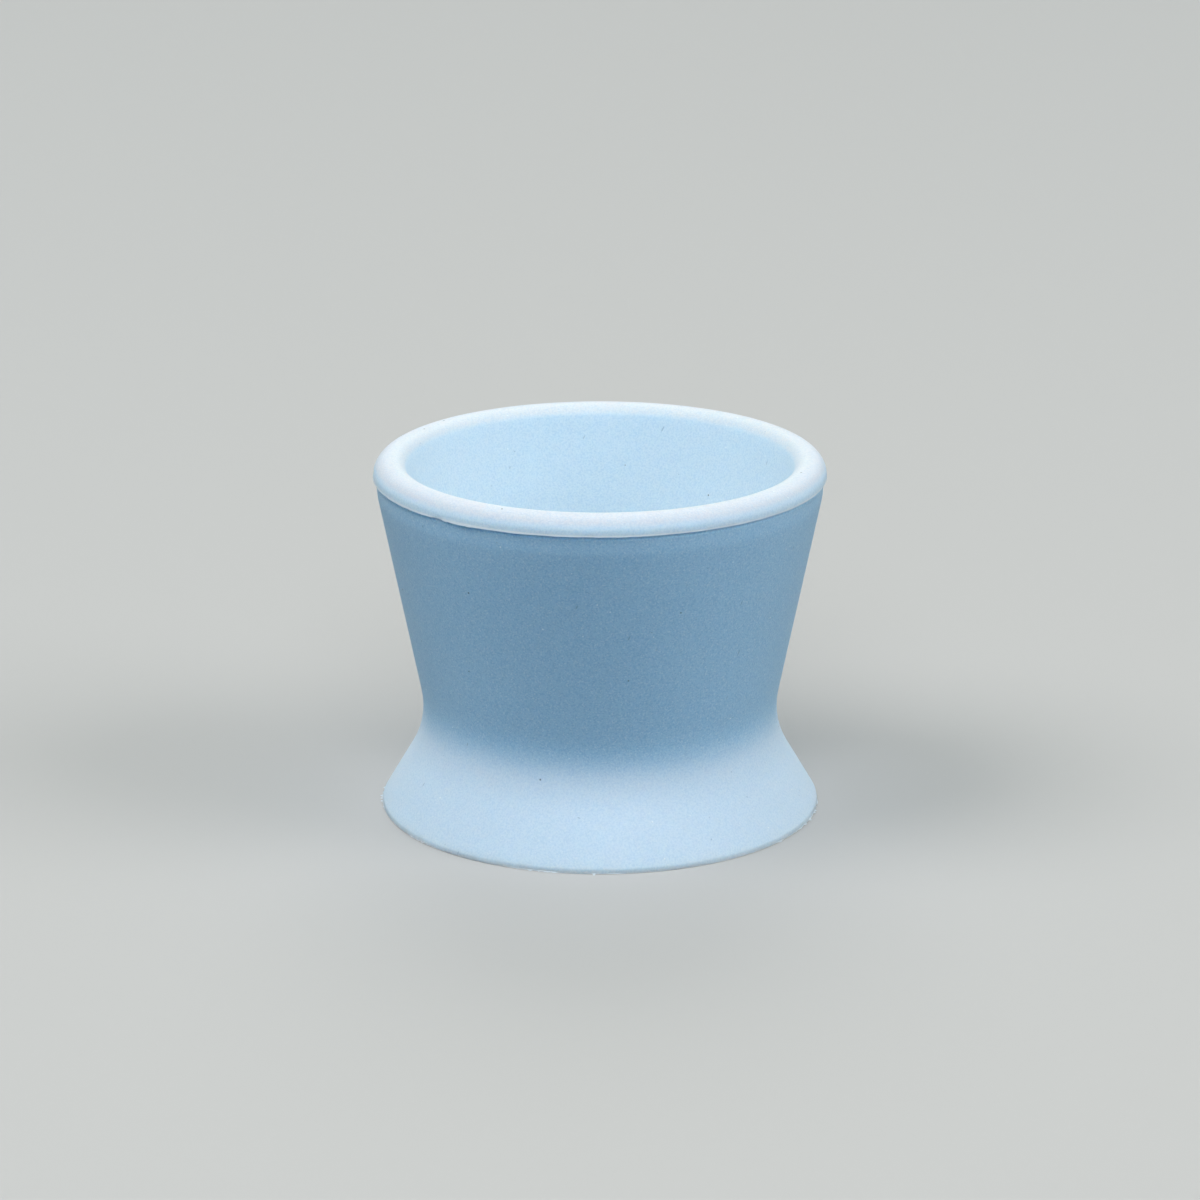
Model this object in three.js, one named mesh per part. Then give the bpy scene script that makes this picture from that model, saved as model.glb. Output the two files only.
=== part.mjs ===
// Dental mixing bowl, moulded in one piece from silicone rubber.
// A tapered cup with a beaded rim stands on a flared, hollow foot.
// Turned over, the hollow of the foot is a second, shallow mixing well.
//
// Millimetres, +Z up. The origin is the centre of the ring that the bowl stands on.
import * as THREE from "three";

// Driving dimensions: the whole bowl
const height = 35.9; // standing ring to the crest of the rim
const cupWall = 3.3; // square to the outside of the cup
const footWall = 2.4; // square to the outside of the foot
const webThickness = 2.8; // between the cup and the well under it

// Driving dimensions: the rim and the neck under it
const beadDiameter = 44.84;
const beadDepth = 1.7; // crest to the lower edge of the bead
const beadOuterRound = 1.4;
const beadInnerRound = 1.3;
const beadOverhang = 0.2; // the bead past the neck, at the bead's lower edge
const finReach = 0.08; // past the bead, the fin that the mould's parting line leaves
const finThickness = 0.2; // where the fin meets the bead
const neckHeight = 2.0; // the steeper band between the bead and the cup's taper
const neckTaper = 0.17; // how much the band narrows, on the radius
const neckRound = 6; // between the band and the cup's taper

// Driving dimensions: the waist and the foot
const waistDiameter = 35.55; // at its narrowest
const waistHeight = 10.2; // of the narrowest place
const waistHollow = 9.75; // radius of the hollow curve between cup and foot
const footDiameter = 43.9;
const footEdge = 0.46; // upright edge round the foot
const footEdgeRound = 0.9;

// Driving dimensions: the two hollows
const cupDepth = 25;
const cupFloorRound = 9.5; // between the cup's side and its floor
const wellMouthRound = 0.4; // between the standing ring and the well
const wellCeilingRound = 5; // between the well's side and its ceiling

// Fineness of the surface
const stepsAround = 96;
const arcStep = THREE.MathUtils.degToRad(13);
const smallArcStep = THREE.MathUtils.degToRad(18); // for rounds smaller than smallRound
const smallRound = 1.5;

const silicone = new THREE.MeshStandardMaterial({
  name: "silicone",
  color: 0xa9cfe9,
  roughness: 0.55,
  metalness: 0,
});

// The section lies in a plane with x as the radius and y as the height.
const point = (radius, level) => new THREE.Vector2(radius, level);

// Where the line through a point reaches a level.
function atLevel(start, direction, level) {
  return start.clone().addScaledVector(direction, (level - start.y) / direction.y);
}

// Crossing of two lines, each given by a point and a direction.
function lineCrossing(a, alongA, b, alongB) {
  const share = b.clone().sub(a).cross(alongB) / alongA.cross(alongB);
  return a.clone().addScaledVector(alongA, share);
}

// Where a line from an outside point touches the waist's circle, on the circle's side towards the axis.
function tangentPoint(outside, centre, radius) {
  const toPoint = outside.clone().sub(centre);
  const spread = Math.acos(radius / toPoint.length());
  const turn = Math.sign(toPoint.y) * spread;
  return toPoint.setLength(radius).rotateAround(point(0, 0), turn).add(centre);
}

// Points of the arc that rounds a corner between two straight stretches.
function roundCorner(before, corner, after, radius) {
  const back = before.clone().sub(corner);
  const ahead = after.clone().sub(corner);
  const shorter = Math.min(back.length(), ahead.length());
  back.normalize();
  ahead.normalize();
  const half = Math.acos(THREE.MathUtils.clamp(back.dot(ahead), -1, 1)) / 2;
  const reach = Math.min(radius / Math.tan(half), shorter); // a round never outruns its wall
  const used = reach * Math.tan(half);
  const centre = back.clone().add(ahead).setLength(used / Math.sin(half)).add(corner);
  const from = corner.clone().addScaledVector(back, reach).sub(centre);
  const to = corner.clone().addScaledVector(ahead, reach).sub(centre);
  const sweep = Math.atan2(from.cross(to), from.dot(to));
  const step = radius < smallRound ? smallArcStep : arcStep;
  const count = Math.max(2, Math.ceil(Math.abs(sweep) / step));
  return Array.from({ length: count + 1 }, (_, i) =>
    from.clone().rotateAround(point(0, 0), (sweep * i) / count).add(centre),
  );
}

// Walks the corners in order and rounds those that carry a radius.
function roundedOutline(corners) {
  return corners.flatMap(({ at, round }, i) =>
    round ? roundCorner(corners[i - 1].at, at, corners[i + 1].at, round) : [at],
  );
}

// Half section of the bowl, from the middle of the well's ceiling, under the foot, up the outside,
// over the rim and down to the middle of the cup's floor.
function bowlSection() {
  const beadRadius = beadDiameter / 2;
  const footRadius = footDiameter / 2;
  const beadEdgeLevel = height - beadDepth;

  // Outside: the cup's taper and the foot's flare both run tangent to the hollow of the waist.
  const neckTop = point(beadRadius - beadOverhang, beadEdgeLevel);
  const neckFoot = point(neckTop.x - neckTaper, beadEdgeLevel - neckHeight);
  const footShoulder = point(footRadius, footEdge);
  const waistCentre = point(waistDiameter / 2 + waistHollow, waistHeight);
  const taperEnd = tangentPoint(neckFoot, waistCentre, waistHollow);
  const flareStart = tangentPoint(footShoulder, waistCentre, waistHollow);
  const taper = neckFoot.clone().sub(taperEnd).normalize();
  const flare = footShoulder.clone().sub(flareStart).normalize();
  const waistCorner = lineCrossing(taperEnd, taper, flareStart, flare);

  // Inside: each hollow's side runs parallel to the outside, one wall in from it.
  const cupFloor = height - cupDepth;
  const wellCeiling = cupFloor - webThickness;
  const cupSide = taperEnd.clone().add(point(-taper.y, taper.x).multiplyScalar(cupWall));
  const wellSide = flareStart.clone().add(point(flare.y, -flare.x).multiplyScalar(footWall));

  return roundedOutline([
    { at: point(0, wellCeiling) },
    { at: atLevel(wellSide, flare, wellCeiling), round: wellCeilingRound },
    { at: atLevel(wellSide, flare, 0), round: wellMouthRound },
    { at: point(footRadius, 0) },
    { at: footShoulder, round: footEdgeRound },
    { at: waistCorner, round: waistHollow },
    { at: neckFoot, round: neckRound },
    { at: neckTop },
    { at: point(beadRadius + finReach, beadEdgeLevel) },
    { at: point(beadRadius, beadEdgeLevel + finThickness) },
    { at: point(beadRadius, height), round: beadOuterRound },
    { at: atLevel(cupSide, taper, height), round: beadInnerRound },
    { at: atLevel(cupSide, taper, cupFloor), round: cupFloorRound },
    { at: point(0, cupFloor) },
  ]);
}

// A section turned once round the Z axis. LatheGeometry turns about Y, so it is stood up afterwards.
function turned(section) {
  return new THREE.LatheGeometry(section, stepsAround).rotateX(Math.PI / 2);
}

const bowl = new THREE.Group();
const moulding = new THREE.Mesh(turned(bowlSection()), silicone);
moulding.name = "mixing_bowl";
bowl.add(moulding);

export default bowl;
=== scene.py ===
# Looks of a dental mixing bowl: one moulding in pale blue silicone rubber.
import math

import bpy
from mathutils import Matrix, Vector, noise


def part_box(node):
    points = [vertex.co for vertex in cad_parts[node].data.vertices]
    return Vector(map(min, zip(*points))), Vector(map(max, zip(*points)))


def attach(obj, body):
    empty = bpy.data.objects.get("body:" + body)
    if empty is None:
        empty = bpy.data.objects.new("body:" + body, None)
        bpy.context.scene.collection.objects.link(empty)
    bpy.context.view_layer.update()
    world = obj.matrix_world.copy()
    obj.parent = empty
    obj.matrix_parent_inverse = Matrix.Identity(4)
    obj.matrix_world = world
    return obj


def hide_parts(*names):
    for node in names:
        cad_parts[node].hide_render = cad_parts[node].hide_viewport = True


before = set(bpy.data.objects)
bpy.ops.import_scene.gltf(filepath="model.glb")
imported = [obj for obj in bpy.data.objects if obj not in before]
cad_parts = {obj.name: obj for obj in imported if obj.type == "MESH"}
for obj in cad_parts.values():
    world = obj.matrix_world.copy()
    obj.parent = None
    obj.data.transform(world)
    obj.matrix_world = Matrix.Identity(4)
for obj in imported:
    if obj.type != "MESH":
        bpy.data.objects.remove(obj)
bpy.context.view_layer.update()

MM = 0.001

# The section's sizes in millimetres, as the solid has them
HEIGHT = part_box("mixing_bowl")[1].z / MM
BEAD_RADIUS = 22.42
BEAD_DEPTH = 1.7
BEAD_INNER_ROUND = 1.3
BEAD_OVERHANG = 0.2
NECK_HEIGHT = 2.0
NECK_TAPER = 0.17
NECK_ROUND = 6.0
CUP_WALL = 3.3
FOOT_WALL = 2.4
WEB_THICKNESS = 2.8
WAIST_RADIUS = 17.775
WAIST_LEVEL = 10.2
WAIST_HOLLOW = 9.75
FOOT_RADIUS = 21.95
FOOT_EDGE = 0.46
CUP_DEPTH = 25.0
CUP_FLOOR_ROUND = 9.5
WELL_MOUTH_ROUND = 0.4
WELL_CEILING_ROUND = 5.0

# Two rounds that differ from the solid's: a fuller bead and a sharper foot
BEAD_OUTER_ROUND = 1.6
FOOT_EDGE_ROUND = 0.5

# The mould's traces: the fin under the bead and the flash round the standing edge
FIN_THICKNESS = 0.18
FIN_DROP = 0.08
FIN_REACH = 0.05
FIN_SWELL = 0.07
FIN_LUMP = 0.08
FIN_NICK = 0.12
FLASH_THICKNESS = 0.12
FLASH_TIP_LEVEL = 0.05
LIP_REACH = 0.03
LIP_WAVE = 0.04
TOOTH_REACH = 0.45
NIB_REACH = 0.4
TIP_REACH = 0.02

BEAD_EDGE = HEIGHT - BEAD_DEPTH
FIN_EDGE = BEAD_EDGE - FIN_DROP

# Fineness of the mesh
STEPS_AROUND = 480
LONGEST_STRETCH = 0.75
ARC_STEP = math.radians(7)
TIP_CUTS = 2
MERGE_DISTANCE = 0.001 * MM
SMOOTH_BELOW = math.radians(40)


# Section

def at_level(start, direction, level):
    """Where the line through a point reaches a level."""
    return start + direction * ((level - start.y) / direction.y)


def line_crossing(a, along_a, b, along_b):
    """Crossing of two lines, each given by a point and a direction."""
    share = (b - a).cross(along_b) / along_a.cross(along_b)
    return a + along_a * share


def turned_by(vector, angle):
    """A plane vector turned by an angle."""
    cosine, sine = math.cos(angle), math.sin(angle)
    return Vector((vector.x * cosine - vector.y * sine, vector.x * sine + vector.y * cosine))


def tangent_point(outside, centre, radius):
    """Where a line from an outside point touches a circle, on the side towards the axis."""
    to_point = outside - centre
    spread = math.acos(radius / to_point.length)
    return centre + turned_by(to_point.normalized() * radius, math.copysign(spread, to_point.y))


def bowl_corners():
    """The section's corners with their rounds, from the well's ceiling round to the cup's floor."""
    neck_top = Vector((BEAD_RADIUS - BEAD_OVERHANG, BEAD_EDGE))
    neck_foot = neck_top - Vector((NECK_TAPER, NECK_HEIGHT))
    shoulder = Vector((FOOT_RADIUS, FOOT_EDGE))
    waist_centre = Vector((WAIST_RADIUS + WAIST_HOLLOW, WAIST_LEVEL))
    taper_end = tangent_point(neck_foot, waist_centre, WAIST_HOLLOW)
    flare_start = tangent_point(shoulder, waist_centre, WAIST_HOLLOW)
    taper = (neck_foot - taper_end).normalized()
    flare = (shoulder - flare_start).normalized()

    cup_floor = HEIGHT - CUP_DEPTH
    well_ceiling = cup_floor - WEB_THICKNESS
    cup_side = taper_end + Vector((-taper.y, taper.x)) * CUP_WALL
    well_side = flare_start + Vector((flare.y, -flare.x)) * FOOT_WALL

    return [
        (Vector((0, well_ceiling)), 0),
        (at_level(well_side, flare, well_ceiling), WELL_CEILING_ROUND),
        (at_level(well_side, flare, 0), WELL_MOUTH_ROUND),
        (Vector((FOOT_RADIUS, 0)), 0),
        (Vector((FOOT_RADIUS + TIP_REACH, FLASH_TIP_LEVEL)), 0),
        (Vector((FOOT_RADIUS, FLASH_THICKNESS)), 0),
        (shoulder, FOOT_EDGE_ROUND),
        (line_crossing(taper_end, taper, flare_start, flare), WAIST_HOLLOW),
        (neck_foot, NECK_ROUND),
        (neck_top, 0),
        (Vector((BEAD_RADIUS + TIP_REACH, FIN_EDGE)), 0),
        (Vector((BEAD_RADIUS, FIN_EDGE + FIN_THICKNESS)), 0),
        (Vector((BEAD_RADIUS, HEIGHT)), BEAD_OUTER_ROUND),
        (at_level(cup_side, taper, HEIGHT), BEAD_INNER_ROUND),
        (at_level(cup_side, taper, cup_floor), CUP_FLOOR_ROUND),
        (Vector((0, cup_floor)), 0),
    ]


def in_space(point):
    """A point of the section, in metres, on the plane that the X axis and the bowl's axis span."""
    return Vector((point.x, 0, point.y)) * MM


def extrude_to(start, end):
    """Extrudes the selected vertex in even steps along a straight stretch."""
    steps = max(1, math.ceil((end - start).length / LONGEST_STRETCH))
    stretch = in_space(end - start) / steps
    for _ in range(steps):
        bpy.ops.mesh.extrude_region_move(TRANSFORM_OT_translate={"value": stretch})


def draw_section(corners):
    """Draws the half section: straight stretches are extruded and rounds are spun."""
    place = corners[0][0]
    bpy.ops.mesh.primitive_plane_add(size=MM)
    bpy.ops.object.mode_set(mode="EDIT")
    bpy.ops.mesh.merge(type="CENTER")
    bpy.ops.transform.translate(value=in_space(place))
    for (before, _), (corner, radius), (after, _) in zip(corners, corners[1:], corners[2:]):
        if not radius:
            extrude_to(place, corner)
            place = corner
            continue
        back = (before - corner).normalized()
        ahead = (after - corner).normalized()
        half = back.angle(ahead) / 2
        centre = corner + (back + ahead).normalized() * (radius / math.sin(half))
        arc_start = corner + back * (radius / math.tan(half))
        arc_end = corner + ahead * (radius / math.tan(half))
        extrude_to(place, arc_start)
        sweep = (arc_end - centre).angle_signed(arc_start - centre)
        steps = max(3, math.ceil(abs(sweep) / ARC_STEP))
        bpy.ops.mesh.spin(steps=steps, angle=sweep, center=in_space(centre), axis=(0, 1, 0))
        place = arc_end
    extrude_to(place, corners[-1][0])
    bpy.ops.object.mode_set(mode="OBJECT")


# Skin

def apply_modifier(piece, kind, **settings):
    """Adds a modifier, sets it and applies it."""
    bpy.ops.object.modifier_add(type=kind)
    modifier = piece.modifiers[-1]
    for name, value in settings.items():
        setattr(modifier, name, value)
    bpy.ops.object.modifier_apply(modifier=modifier.name)


def azimuth(place):
    """Angle of a place round the bowl, in degrees: -90 is the front, 0 the right, 180 the left."""
    return math.degrees(math.atan2(place.y, place.x))


def bump(angle, centre, width):
    """A smooth hill round an angle, 1 at its centre and 0 past its width."""
    away = abs((angle - centre + 180) % 360 - 180) / width
    return (1 - away * away) ** 2 if away < 1 else 0


def grain(angle, pitch, seed):
    """Even noise from -1 to 1 round the bowl, with a given pitch in degrees."""
    turn = math.radians(angle)
    reach = 180 / (math.pi * pitch)
    return noise.noise(Vector((reach * math.cos(turn), reach * math.sin(turn), seed)))


def fin_reach(angle):
    """How far the fin stands out, in millimetres: most at the left, hardly at the right."""
    swell = FIN_SWELL * bump(angle, centre=-140, width=100)
    lump = FIN_LUMP * bump(angle, centre=-124, width=9)
    nick = FIN_NICK * bump(angle, centre=-134, width=2.5)
    waves = 0.4 * grain(angle, pitch=9, seed=3.1)
    ripples = 0.35 * grain(angle, pitch=1.6, seed=7.7)
    return max(0, (FIN_REACH + swell + lump) * (0.75 + waves + ripples) - nick)


def flash_reach(angle):
    """How far the flash stands out, in millimetres: a low lip, torn into teeth at both sides."""
    lip = LIP_REACH + LIP_WAVE * grain(angle, pitch=14, seed=1.3)
    torn_right = bump(angle, centre=-16, width=18)
    torn_left = bump(angle, centre=178, width=14)
    torn_elsewhere = max(0, grain(angle, pitch=10, seed=5.9))
    coarse = max(0, 0.2 + grain(angle, pitch=1.3, seed=2.2))
    small = 0.5 * max(0, grain(angle, pitch=0.6, seed=9.4))
    teeth = TOOTH_REACH * (torn_right + torn_left + torn_elsewhere) * (coarse + small)
    nib = NIB_REACH * bump(angle, centre=-91.5, width=0.5)
    return max(0, lip) + teeth + nib


def draw_out_tip(piece, radius, level, reach):
    """Refines one ring of the skin and draws it out by a reach that changes round the bowl."""
    for element in (*piece.data.polygons, *piece.data.edges):
        element.select = False
    for vertex in piece.data.vertices:
        off_ring = math.hypot(vertex.co.xy.length / MM - radius, vertex.co.z / MM - level)
        vertex.select = off_ring < TIP_REACH / 4
    bpy.ops.object.mode_set(mode="EDIT")
    bpy.ops.mesh.select_mode(type="VERT")
    bpy.ops.mesh.subdivide(number_cuts=TIP_CUTS, ngon=False)
    bpy.ops.object.mode_set(mode="OBJECT")
    tip = piece.vertex_groups.new(name="tip")
    for vertex in piece.data.vertices:
        if vertex.select:
            tip.add([vertex.index], reach(azimuth(vertex.co)), "REPLACE")
    apply_modifier(piece, "DISPLACE", vertex_group="tip", mid_level=0, strength=MM)
    bpy.ops.object.vertex_group_remove(all=True)


def make_bowl():
    """The whole moulding as one closed skin."""
    draw_section(bowl_corners())
    piece = bpy.context.object
    piece.name = "bowl_skin"
    apply_modifier(
        piece,
        "SCREW",
        steps=STEPS_AROUND,
        render_steps=STEPS_AROUND,
        use_merge_vertices=True,
        merge_threshold=MERGE_DISTANCE,
    )
    bpy.ops.object.mode_set(mode="EDIT")
    bpy.ops.mesh.select_all(action="SELECT")
    bpy.ops.mesh.remove_doubles(threshold=MERGE_DISTANCE)
    bpy.ops.mesh.normals_make_consistent(inside=False)
    bpy.ops.object.mode_set(mode="OBJECT")
    draw_out_tip(piece, BEAD_RADIUS + TIP_REACH, FIN_EDGE, fin_reach)
    draw_out_tip(piece, FOOT_RADIUS + TIP_REACH, FLASH_TIP_LEVEL, flash_reach)
    bpy.ops.object.shade_smooth_by_angle(angle=SMOOTH_BELOW)
    return piece


# Materials

class Wire:
    """One output of a node. Sums on wires add Math nodes, so that a mask reads as an expression."""

    def __init__(self, tree, socket=None):
        self.tree = tree
        self.socket = socket

    def node(self, kind, settings=None, inputs=None, output=0):
        """Adds a node of any kind, sets it, feeds its sockets and returns one of its outputs."""
        made = self.tree.nodes.new(kind)
        for name, value in (settings or {}).items():
            setattr(made, name, value)
        for name, value in (inputs or {}).items():
            if isinstance(value, Wire):
                self.tree.links.new(value.socket, made.inputs[name])
            else:
                made.inputs[name].default_value = value
        return Wire(self.tree, made.outputs[output])

    def math(self, operation, *values):
        """Adds a Math node that works on these wires or numbers."""
        return self.node("ShaderNodeMath", {"operation": operation}, dict(enumerate(values)))

    def __add__(self, other):
        return self.math("ADD", self, other)

    def __sub__(self, other):
        return self.math("SUBTRACT", self, other)

    def __rsub__(self, other):
        return self.math("SUBTRACT", other, self)

    def __mul__(self, other):
        return self.math("MULTIPLY", self, other)

    def __truediv__(self, other):
        return self.math("DIVIDE", self, other)

    __radd__ = __add__
    __rmul__ = __mul__

    def root(self):
        """The square root of this number."""
        return self.math("SQRT", self)

    def either(self, other):
        """The higher of two masks."""
        return self.math("MAXIMUM", self, other)

    def over(self, low, high):
        """A mask that rises smoothly from 0 at low to 1 at high, or falls if high is the lower."""
        return self.node(
            "ShaderNodeMapRange",
            {"interpolation_type": "SMOOTHSTEP"},
            {"Value": self, "From Min": low, "From Max": high},
        )

    def blend(self, bare, dust_and_lit_faces):
        """Two colours mixed by this mask: the first where it is 0, the second where it is 1."""
        return self.node(
            "ShaderNodeMix", {"data_type": "RGBA"}, {0: self, 6: bare, 7: dust_and_lit_faces}, output=2
        )

    def moved(self, x, y, z):
        """This place, shifted by millimetres."""
        return self.node(
            "ShaderNodeVectorMath", {"operation": "ADD"}, {0: self, 1: (x * MM, y * MM, z * MM)}
        )

    def cloud(self, pitch, detail):
        """Soft noise from 0 to 1 at this place, with a pitch in millimetres."""
        return self.node(
            "ShaderNodeTexNoise", {}, {"Vector": self, "Scale": 1 / (pitch * MM), "Detail": detail}
        )

    def stretched(self, length, turn):
        """This place, drawn out so that marks turn into strokes that lean by an angle in degrees."""
        return self.node(
            "ShaderNodeMapping", {"vector_type": "TEXTURE"},
            {"Vector": self, "Rotation": (0, math.radians(turn), 0), "Scale": (1, 1, length)},
        )

    def specks(self, pitch, size, share):
        """A scatter of round specks: one in a share of the cells of a given pitch."""
        cells = {"Vector": self, "Scale": 1 / (pitch * MM)}
        distance = self.node("ShaderNodeTexVoronoi", {}, cells, output="Distance")
        draw = self.node("ShaderNodeTexVoronoi", {}, cells, output="Color")
        chance = draw.node("ShaderNodeSeparateColor", {}, {"Color": draw})
        core = 0.4 * size
        return distance.over(size / pitch, core / pitch) * chance.over(share, 0.9 * share)


def srgb(red, green, blue):
    """A colour given as 0 to 255 on screen, as the linear value that a socket holds."""
    def channel(value):
        share = value / 255
        return share / 12.92 if share <= 0.04045 else ((share + 0.055) / 1.055) ** 2.4

    return (channel(red), channel(green), channel(blue), 1)


def new_material(name):
    """An empty node material: its tree and its output node."""
    material = bpy.data.materials.new(name)
    material.use_nodes = True
    tree = material.node_tree
    tree.nodes.clear()
    return material, tree, tree.nodes.new("ShaderNodeOutputMaterial")


# Colours of the rubber and of what lies on it, with painted light and a painted highlight
SILICONE = srgb(172, 208, 231)
SILICONE_DEEP = srgb(138, 182, 216)
SILICONE_PAINTED_LIGHT = srgb(190, 231, 253)
DUST_AND_PAINTED_LIGHT = srgb(216, 229, 242)
RIM_PAINTED_HIGHLIGHT = srgb(216, 219, 227)
MIXING_FILM = srgb(228, 236, 228)
POWDER = srgb(226, 236, 244)
THIN_RUBBER = srgb(226, 235, 243)
SMUDGE = srgb(180, 182, 180)
SCUFF = srgb(112, 146, 170)
PALE_SPECK = srgb(240, 246, 250)
DARK_SPECK = srgb(60, 72, 86)

# How far each of them covers what is under it
BEAD_DUST_AND_LIGHT_COVER = 0.85
THINNEST_DUST_AND_LIGHT = 0.7
GRAIN_COVER = 0.45
GRAIN_LOST_IN_DUST_AND_LIGHT = 0.32
MOTTLE_COVER = 0.12
FILM_COVER = 0.22
POWDER_COVER = 0.4
SMUDGE_COVER = 0.2
SCUFF_COVER = 0.5
SPECK_COVER = 0.75
THIN_RUBBER_COVER = 0.7

# Relief of the surface in millimetres
CLOUD_RELIEF = 0.04
MOTTLE_RELIEF = 0.008
GRAIN_RELIEF = 0.01
SPECK_RELIEF = 0.02

# How far the cup's side leans out for each millimetre of height
CUP_LEAN = 0.203


def silicone():
    """Satin silicone rubber: fine grain, settled dust with painted light on upward faces, the bead
    and the standing edge, a painted highlight on the crest, painted light under the fin, thin pale
    flash and a soiled foot edge.
    """
    material, tree, output = new_material("silicone")
    place = Wire(tree).node("ShaderNodeTexCoord", output="Object")
    x, y, level = (place.node("ShaderNodeSeparateXYZ", {}, {0: place}, i) / MM for i in range(3))
    radius = (x * x + y * y).root()
    normal = place.node("ShaderNodeNewGeometry", output="Normal")
    upward = place.node("ShaderNodeSeparateXYZ", {}, {0: normal}, output=2)

    clouds = place.cloud(pitch=7.0, detail=3.0)
    mottle = place.cloud(pitch=0.9, detail=3.0)
    fine = place.cloud(pitch=0.2, detail=1.5)
    powder = place.moved(7, 3, 9).cloud(pitch=0.17, detail=1.5)
    pale = place.moved(3, 5, 1).specks(pitch=1.3, size=0.12, share=0.25)
    dark = place.moved(11, 2, 7).specks(pitch=1.7, size=0.13, share=0.12)
    scuffs = place.stretched(length=5, turn=24).specks(pitch=1.0, size=0.09, share=0.25)
    leaning = place.moved(2, 4, 6).stretched(length=16, turn=-64)
    scratches = leaning.specks(pitch=1.6, size=0.06, share=0.8)

    # Upward faces, the bead and the standing edge are painted paler: partly settled dust, partly
    # painted light that lightens faces turned up to the lamps and lifts the shaded bead and upright
    # foot band.
    bead = level.over(BEAD_EDGE - 0.45, BEAD_EDGE - 0.2)
    # Painted highlight: the crest is painted whiter where the lamps' sheen would fall on it.
    crest_highlight = level.over(HEIGHT - 1.1, HEIGHT - 0.5)
    # Painted light: the rubber just under the fin is painted paler to fill the shadow of the bead
    # and fin.
    painted_light_under_fin = level.over(BEAD_EDGE - 0.7, BEAD_EDGE - 0.4) * radius.over(21, 21.5)
    inside_cup = (radius - CUP_LEAN * level).over(14, 13) * level.over(9, 10.5)
    painted_light_standing_edge = level.over(0.9, 0.5)
    dust_and_lit_faces = upward.over(-0.13, 0.3).either(BEAD_DUST_AND_LIGHT_COVER * bead).either(painted_light_standing_edge)
    dust_and_painted_light = dust_and_lit_faces * (THINNEST_DUST_AND_LIGHT + (1 - THINNEST_DUST_AND_LIGHT) * clouds)

    colour = dust_and_painted_light.blend(painted_light_under_fin.blend(SILICONE, SILICONE_PAINTED_LIGHT), DUST_AND_PAINTED_LIGHT)
    colour = crest_highlight.blend(colour, RIM_PAINTED_HIGHLIGHT)
    colour = (FILM_COVER * inside_cup).blend(colour, MIXING_FILM)
    patches = clouds.over(0.3, 0.7) + mottle.over(0.3, 0.7)
    depth = MOTTLE_COVER * patches + fine.over(0.62, 0.3)
    colour = ((GRAIN_COVER - GRAIN_LOST_IN_DUST_AND_LIGHT * dust_and_painted_light) * depth).blend(colour, SILICONE_DEEP)
    colour = (POWDER_COVER * powder.over(0.52, 0.72)).blend(colour, POWDER)

    foot_edge = radius.over(FOOT_RADIUS - 0.45, FOOT_RADIUS - 0.05) * level.over(1.1, 0.1)
    front_left = x.over(1, -9) * y.over(-6, -12)
    smears = place.cloud(pitch=1.3, detail=4.0).over(0.4, 0.65)
    colour = (SMUDGE_COVER * (foot_edge * front_left * smears)).blend(colour, SMUDGE)
    colour = (SCUFF_COVER * scuffs.either(scratches)).blend(colour, SCUFF)
    colour = (SPECK_COVER * pale).blend(colour, PALE_SPECK)
    colour = (SPECK_COVER * dark).blend(colour, DARK_SPECK)

    undulation = CLOUD_RELIEF * clouds + MOTTLE_RELIEF * mottle
    relief = undulation + GRAIN_RELIEF * fine + SPECK_RELIEF * pale
    shader = place.node(
        "ShaderNodeBsdfPrincipled",
        {"subsurface_method": "RANDOM_WALK"},
        {
            "Base Color": colour,
            "Roughness": 0.5 + 0.14 * mottle,
            "IOR": 1.42,
            "Specular IOR Level": 0.2,
            "Subsurface Weight": 1.0,
            "Subsurface Radius": (0.7, 0.9, 1.0),
            "Subsurface Scale": MM,
            "Normal": place.node(
                "ShaderNodeBump", {}, {"Strength": 0.6, "Distance": MM, "Height": relief}
            ),
        },
    )

    fin = radius.over(BEAD_RADIUS + 0.005, BEAD_RADIUS + 0.03)
    flash = radius.over(FOOT_RADIUS + 0.01, FOOT_RADIUS + 0.06) * level.over(0.4, 0.3)
    thin = place.node("ShaderNodeBsdfDiffuse", {}, {"Color": THIN_RUBBER})
    mixed_in = THIN_RUBBER_COVER * fin.either(flash)
    skin = place.node("ShaderNodeMixShader", {}, {0: mixed_in, 1: shader, 2: thin})
    tree.links.new(skin.socket, output.inputs["Surface"])
    return material


def shown_ray(tree):
    """1 for rays that show a background: from the camera, or off a gloss or through glass."""
    camera, glossy, transmission = (
        Wire(tree).node("ShaderNodeLightPath", output=name)
        for name in ("Is Camera Ray", "Is Glossy Ray", "Is Transmission Ray")
    )
    return camera.math("MINIMUM", camera + glossy + transmission, 1)


# Stage, light and camera

FLOOR_SHOWN = srgb(194, 192, 191)
FLOOR_BOUNCE = (0.02, 0.035, 0.05, 1)
BACKDROP = srgb(226, 228, 230)
DOME_LOW = (0.22, 0.42, 0.59, 1)
DOME_HIGH = (0.24, 0.26, 0.2, 1)

# Sizes and places in metres
FLOOR_WIDTH = 6
SOFTBOX_DISTANCE = 2.0
SOFTBOX_WIDTH = 1.25
CAMERA_PLACE = Vector((0, -0.4133, 0.1500))
CAMERA_TARGET = Vector((0, 0, 0.0209))

# The lens in millimetres
SENSOR_WIDTH = 36
FOCAL_LENGTH = 129.9


def floor_material():
    """A pale matt floor that throws little light back up at the bowl."""
    material, tree, output = new_material("floor")
    shown = shown_ray(tree)
    shader = shown.node(
        "ShaderNodeBsdfDiffuse", {}, {"Color": shown.blend(FLOOR_BOUNCE, FLOOR_SHOWN)}
    )
    tree.links.new(shader.socket, output.inputs["Surface"])
    return material


def make_floor():
    """A wide, plain floor under the standing ring."""
    bpy.ops.mesh.primitive_plane_add(size=FLOOR_WIDTH, location=(0, 0, 0))
    floor = bpy.context.object
    floor.name = "floor"
    floor.data.materials.append(floor_material())


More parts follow.
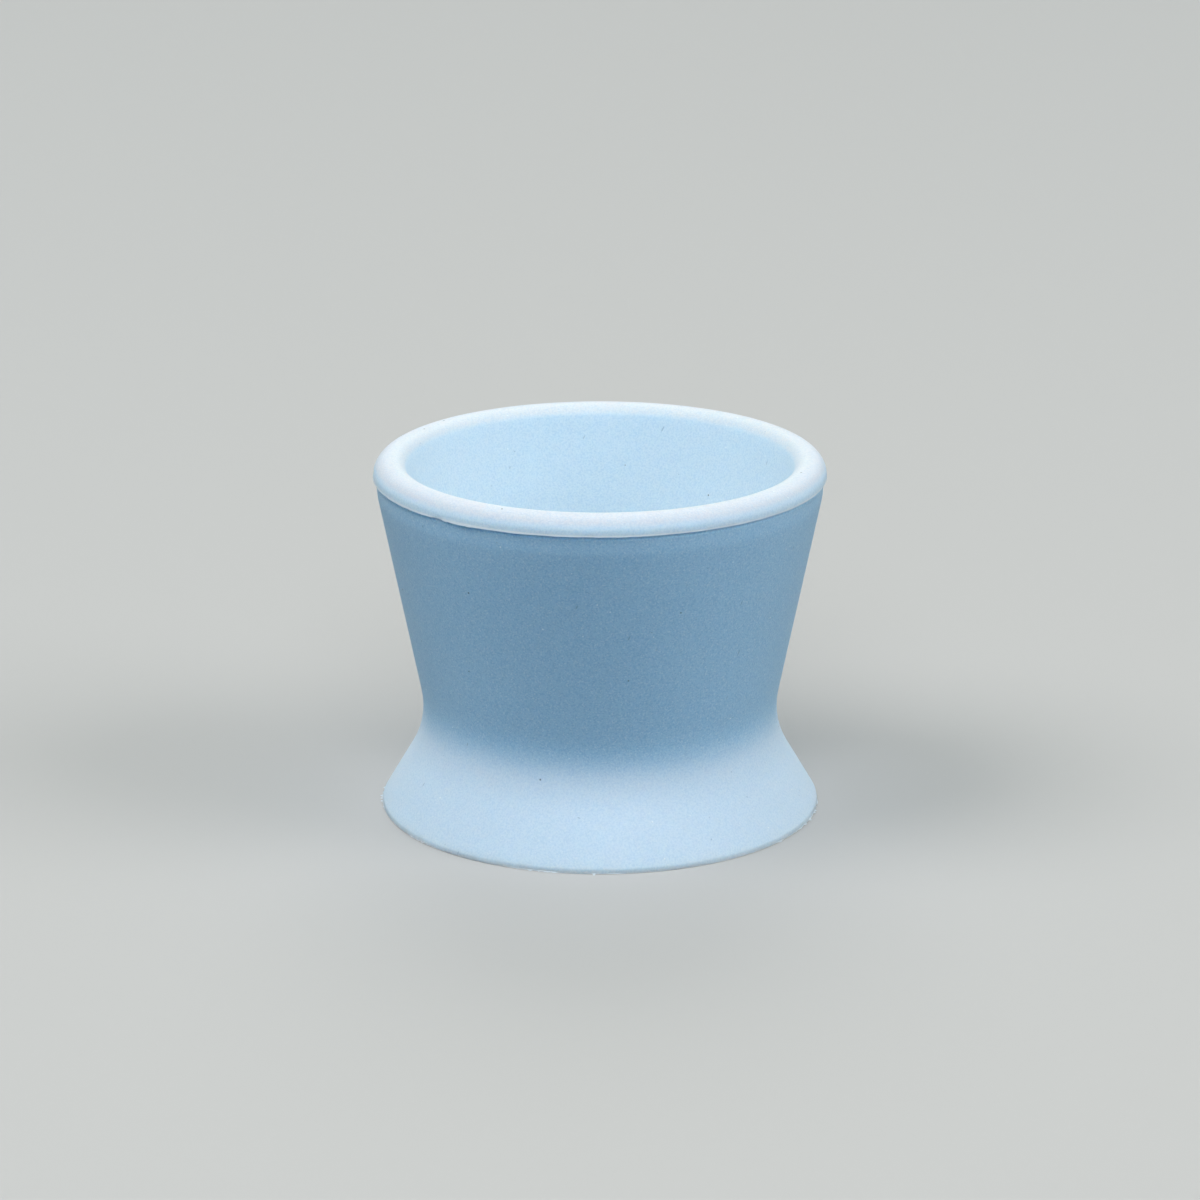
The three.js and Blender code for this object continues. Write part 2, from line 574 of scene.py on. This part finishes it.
def make_dome():
    """A soft dome, cooler and brighter round the sides, and a pale backdrop where it is seen."""
    world = bpy.data.worlds.new("studio")
    world.use_nodes = True
    bpy.context.scene.world = world
    tree = world.node_tree
    tree.nodes.clear()
    shown = shown_ray(tree)
    direction = shown.node("ShaderNodeTexCoord", output="Generated")
    height = direction.node("ShaderNodeSeparateXYZ", {}, {0: direction}, output=2)
    sky = height.over(0.3, 0.65).blend(DOME_LOW, DOME_HIGH)
    dome = sky.node("ShaderNodeBackground", {}, {"Color": sky, "Strength": 1})
    backdrop = shown.node("ShaderNodeBackground", {}, {"Color": BACKDROP, "Strength": 1})
    surface = shown.node("ShaderNodeMixShader", {}, {0: shown, 1: dome, 2: backdrop})
    output = tree.nodes.new("ShaderNodeOutputWorld")
    tree.links.new(surface.socket, output.inputs["Surface"])


def make_softbox(name, compass, elevation, share):
    """A round softbox aimed at the bowl; a share of 1 renders a white face turned to it as white."""
    side, rise = math.radians(compass), math.radians(elevation)
    flat = math.cos(rise)
    towards = Vector((math.cos(side) * flat, math.sin(side) * flat, math.sin(rise)))
    middle = Vector((0, 0, HEIGHT * MM / 2))
    bpy.ops.object.light_add(type="AREA", location=middle + towards * SOFTBOX_DISTANCE)
    lamp = bpy.context.object
    lamp.name = name
    lamp.data.shape = "DISK"
    lamp.data.size = SOFTBOX_WIDTH
    lamp.data.energy = share * (math.pi * SOFTBOX_DISTANCE) ** 2
    lamp.rotation_euler = (-towards).to_track_quat("-Z", "Y").to_euler()


def make_camera():
    """The photograph's view: a long lens, a little above the rim."""
    bpy.ops.object.camera_add(location=CAMERA_PLACE)
    camera = bpy.context.object
    sight = CAMERA_TARGET - CAMERA_PLACE
    camera.rotation_euler = sight.to_track_quat("-Z", "Y").to_euler()
    camera.data.sensor_width = SENSOR_WIDTH
    camera.data.lens = FOCAL_LENGTH
    bpy.context.scene.camera = camera


bpy.ops.object.select_all(action="DESELECT")
bowl = make_bowl()
bowl.data.materials.append(silicone())
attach(bowl, "root")
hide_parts("mixing_bowl")

make_floor()
make_dome()
make_softbox("left_softbox", compass=-165, elevation=50, share=0.44)
make_softbox("right_softbox", compass=-15, elevation=32, share=0.41)
make_softbox("front_softbox", compass=-90, elevation=40, share=0.41)
make_softbox("back_softbox", compass=90, elevation=40, share=0.24)
make_camera()

bpy.context.scene.view_settings.view_transform = "Standard"
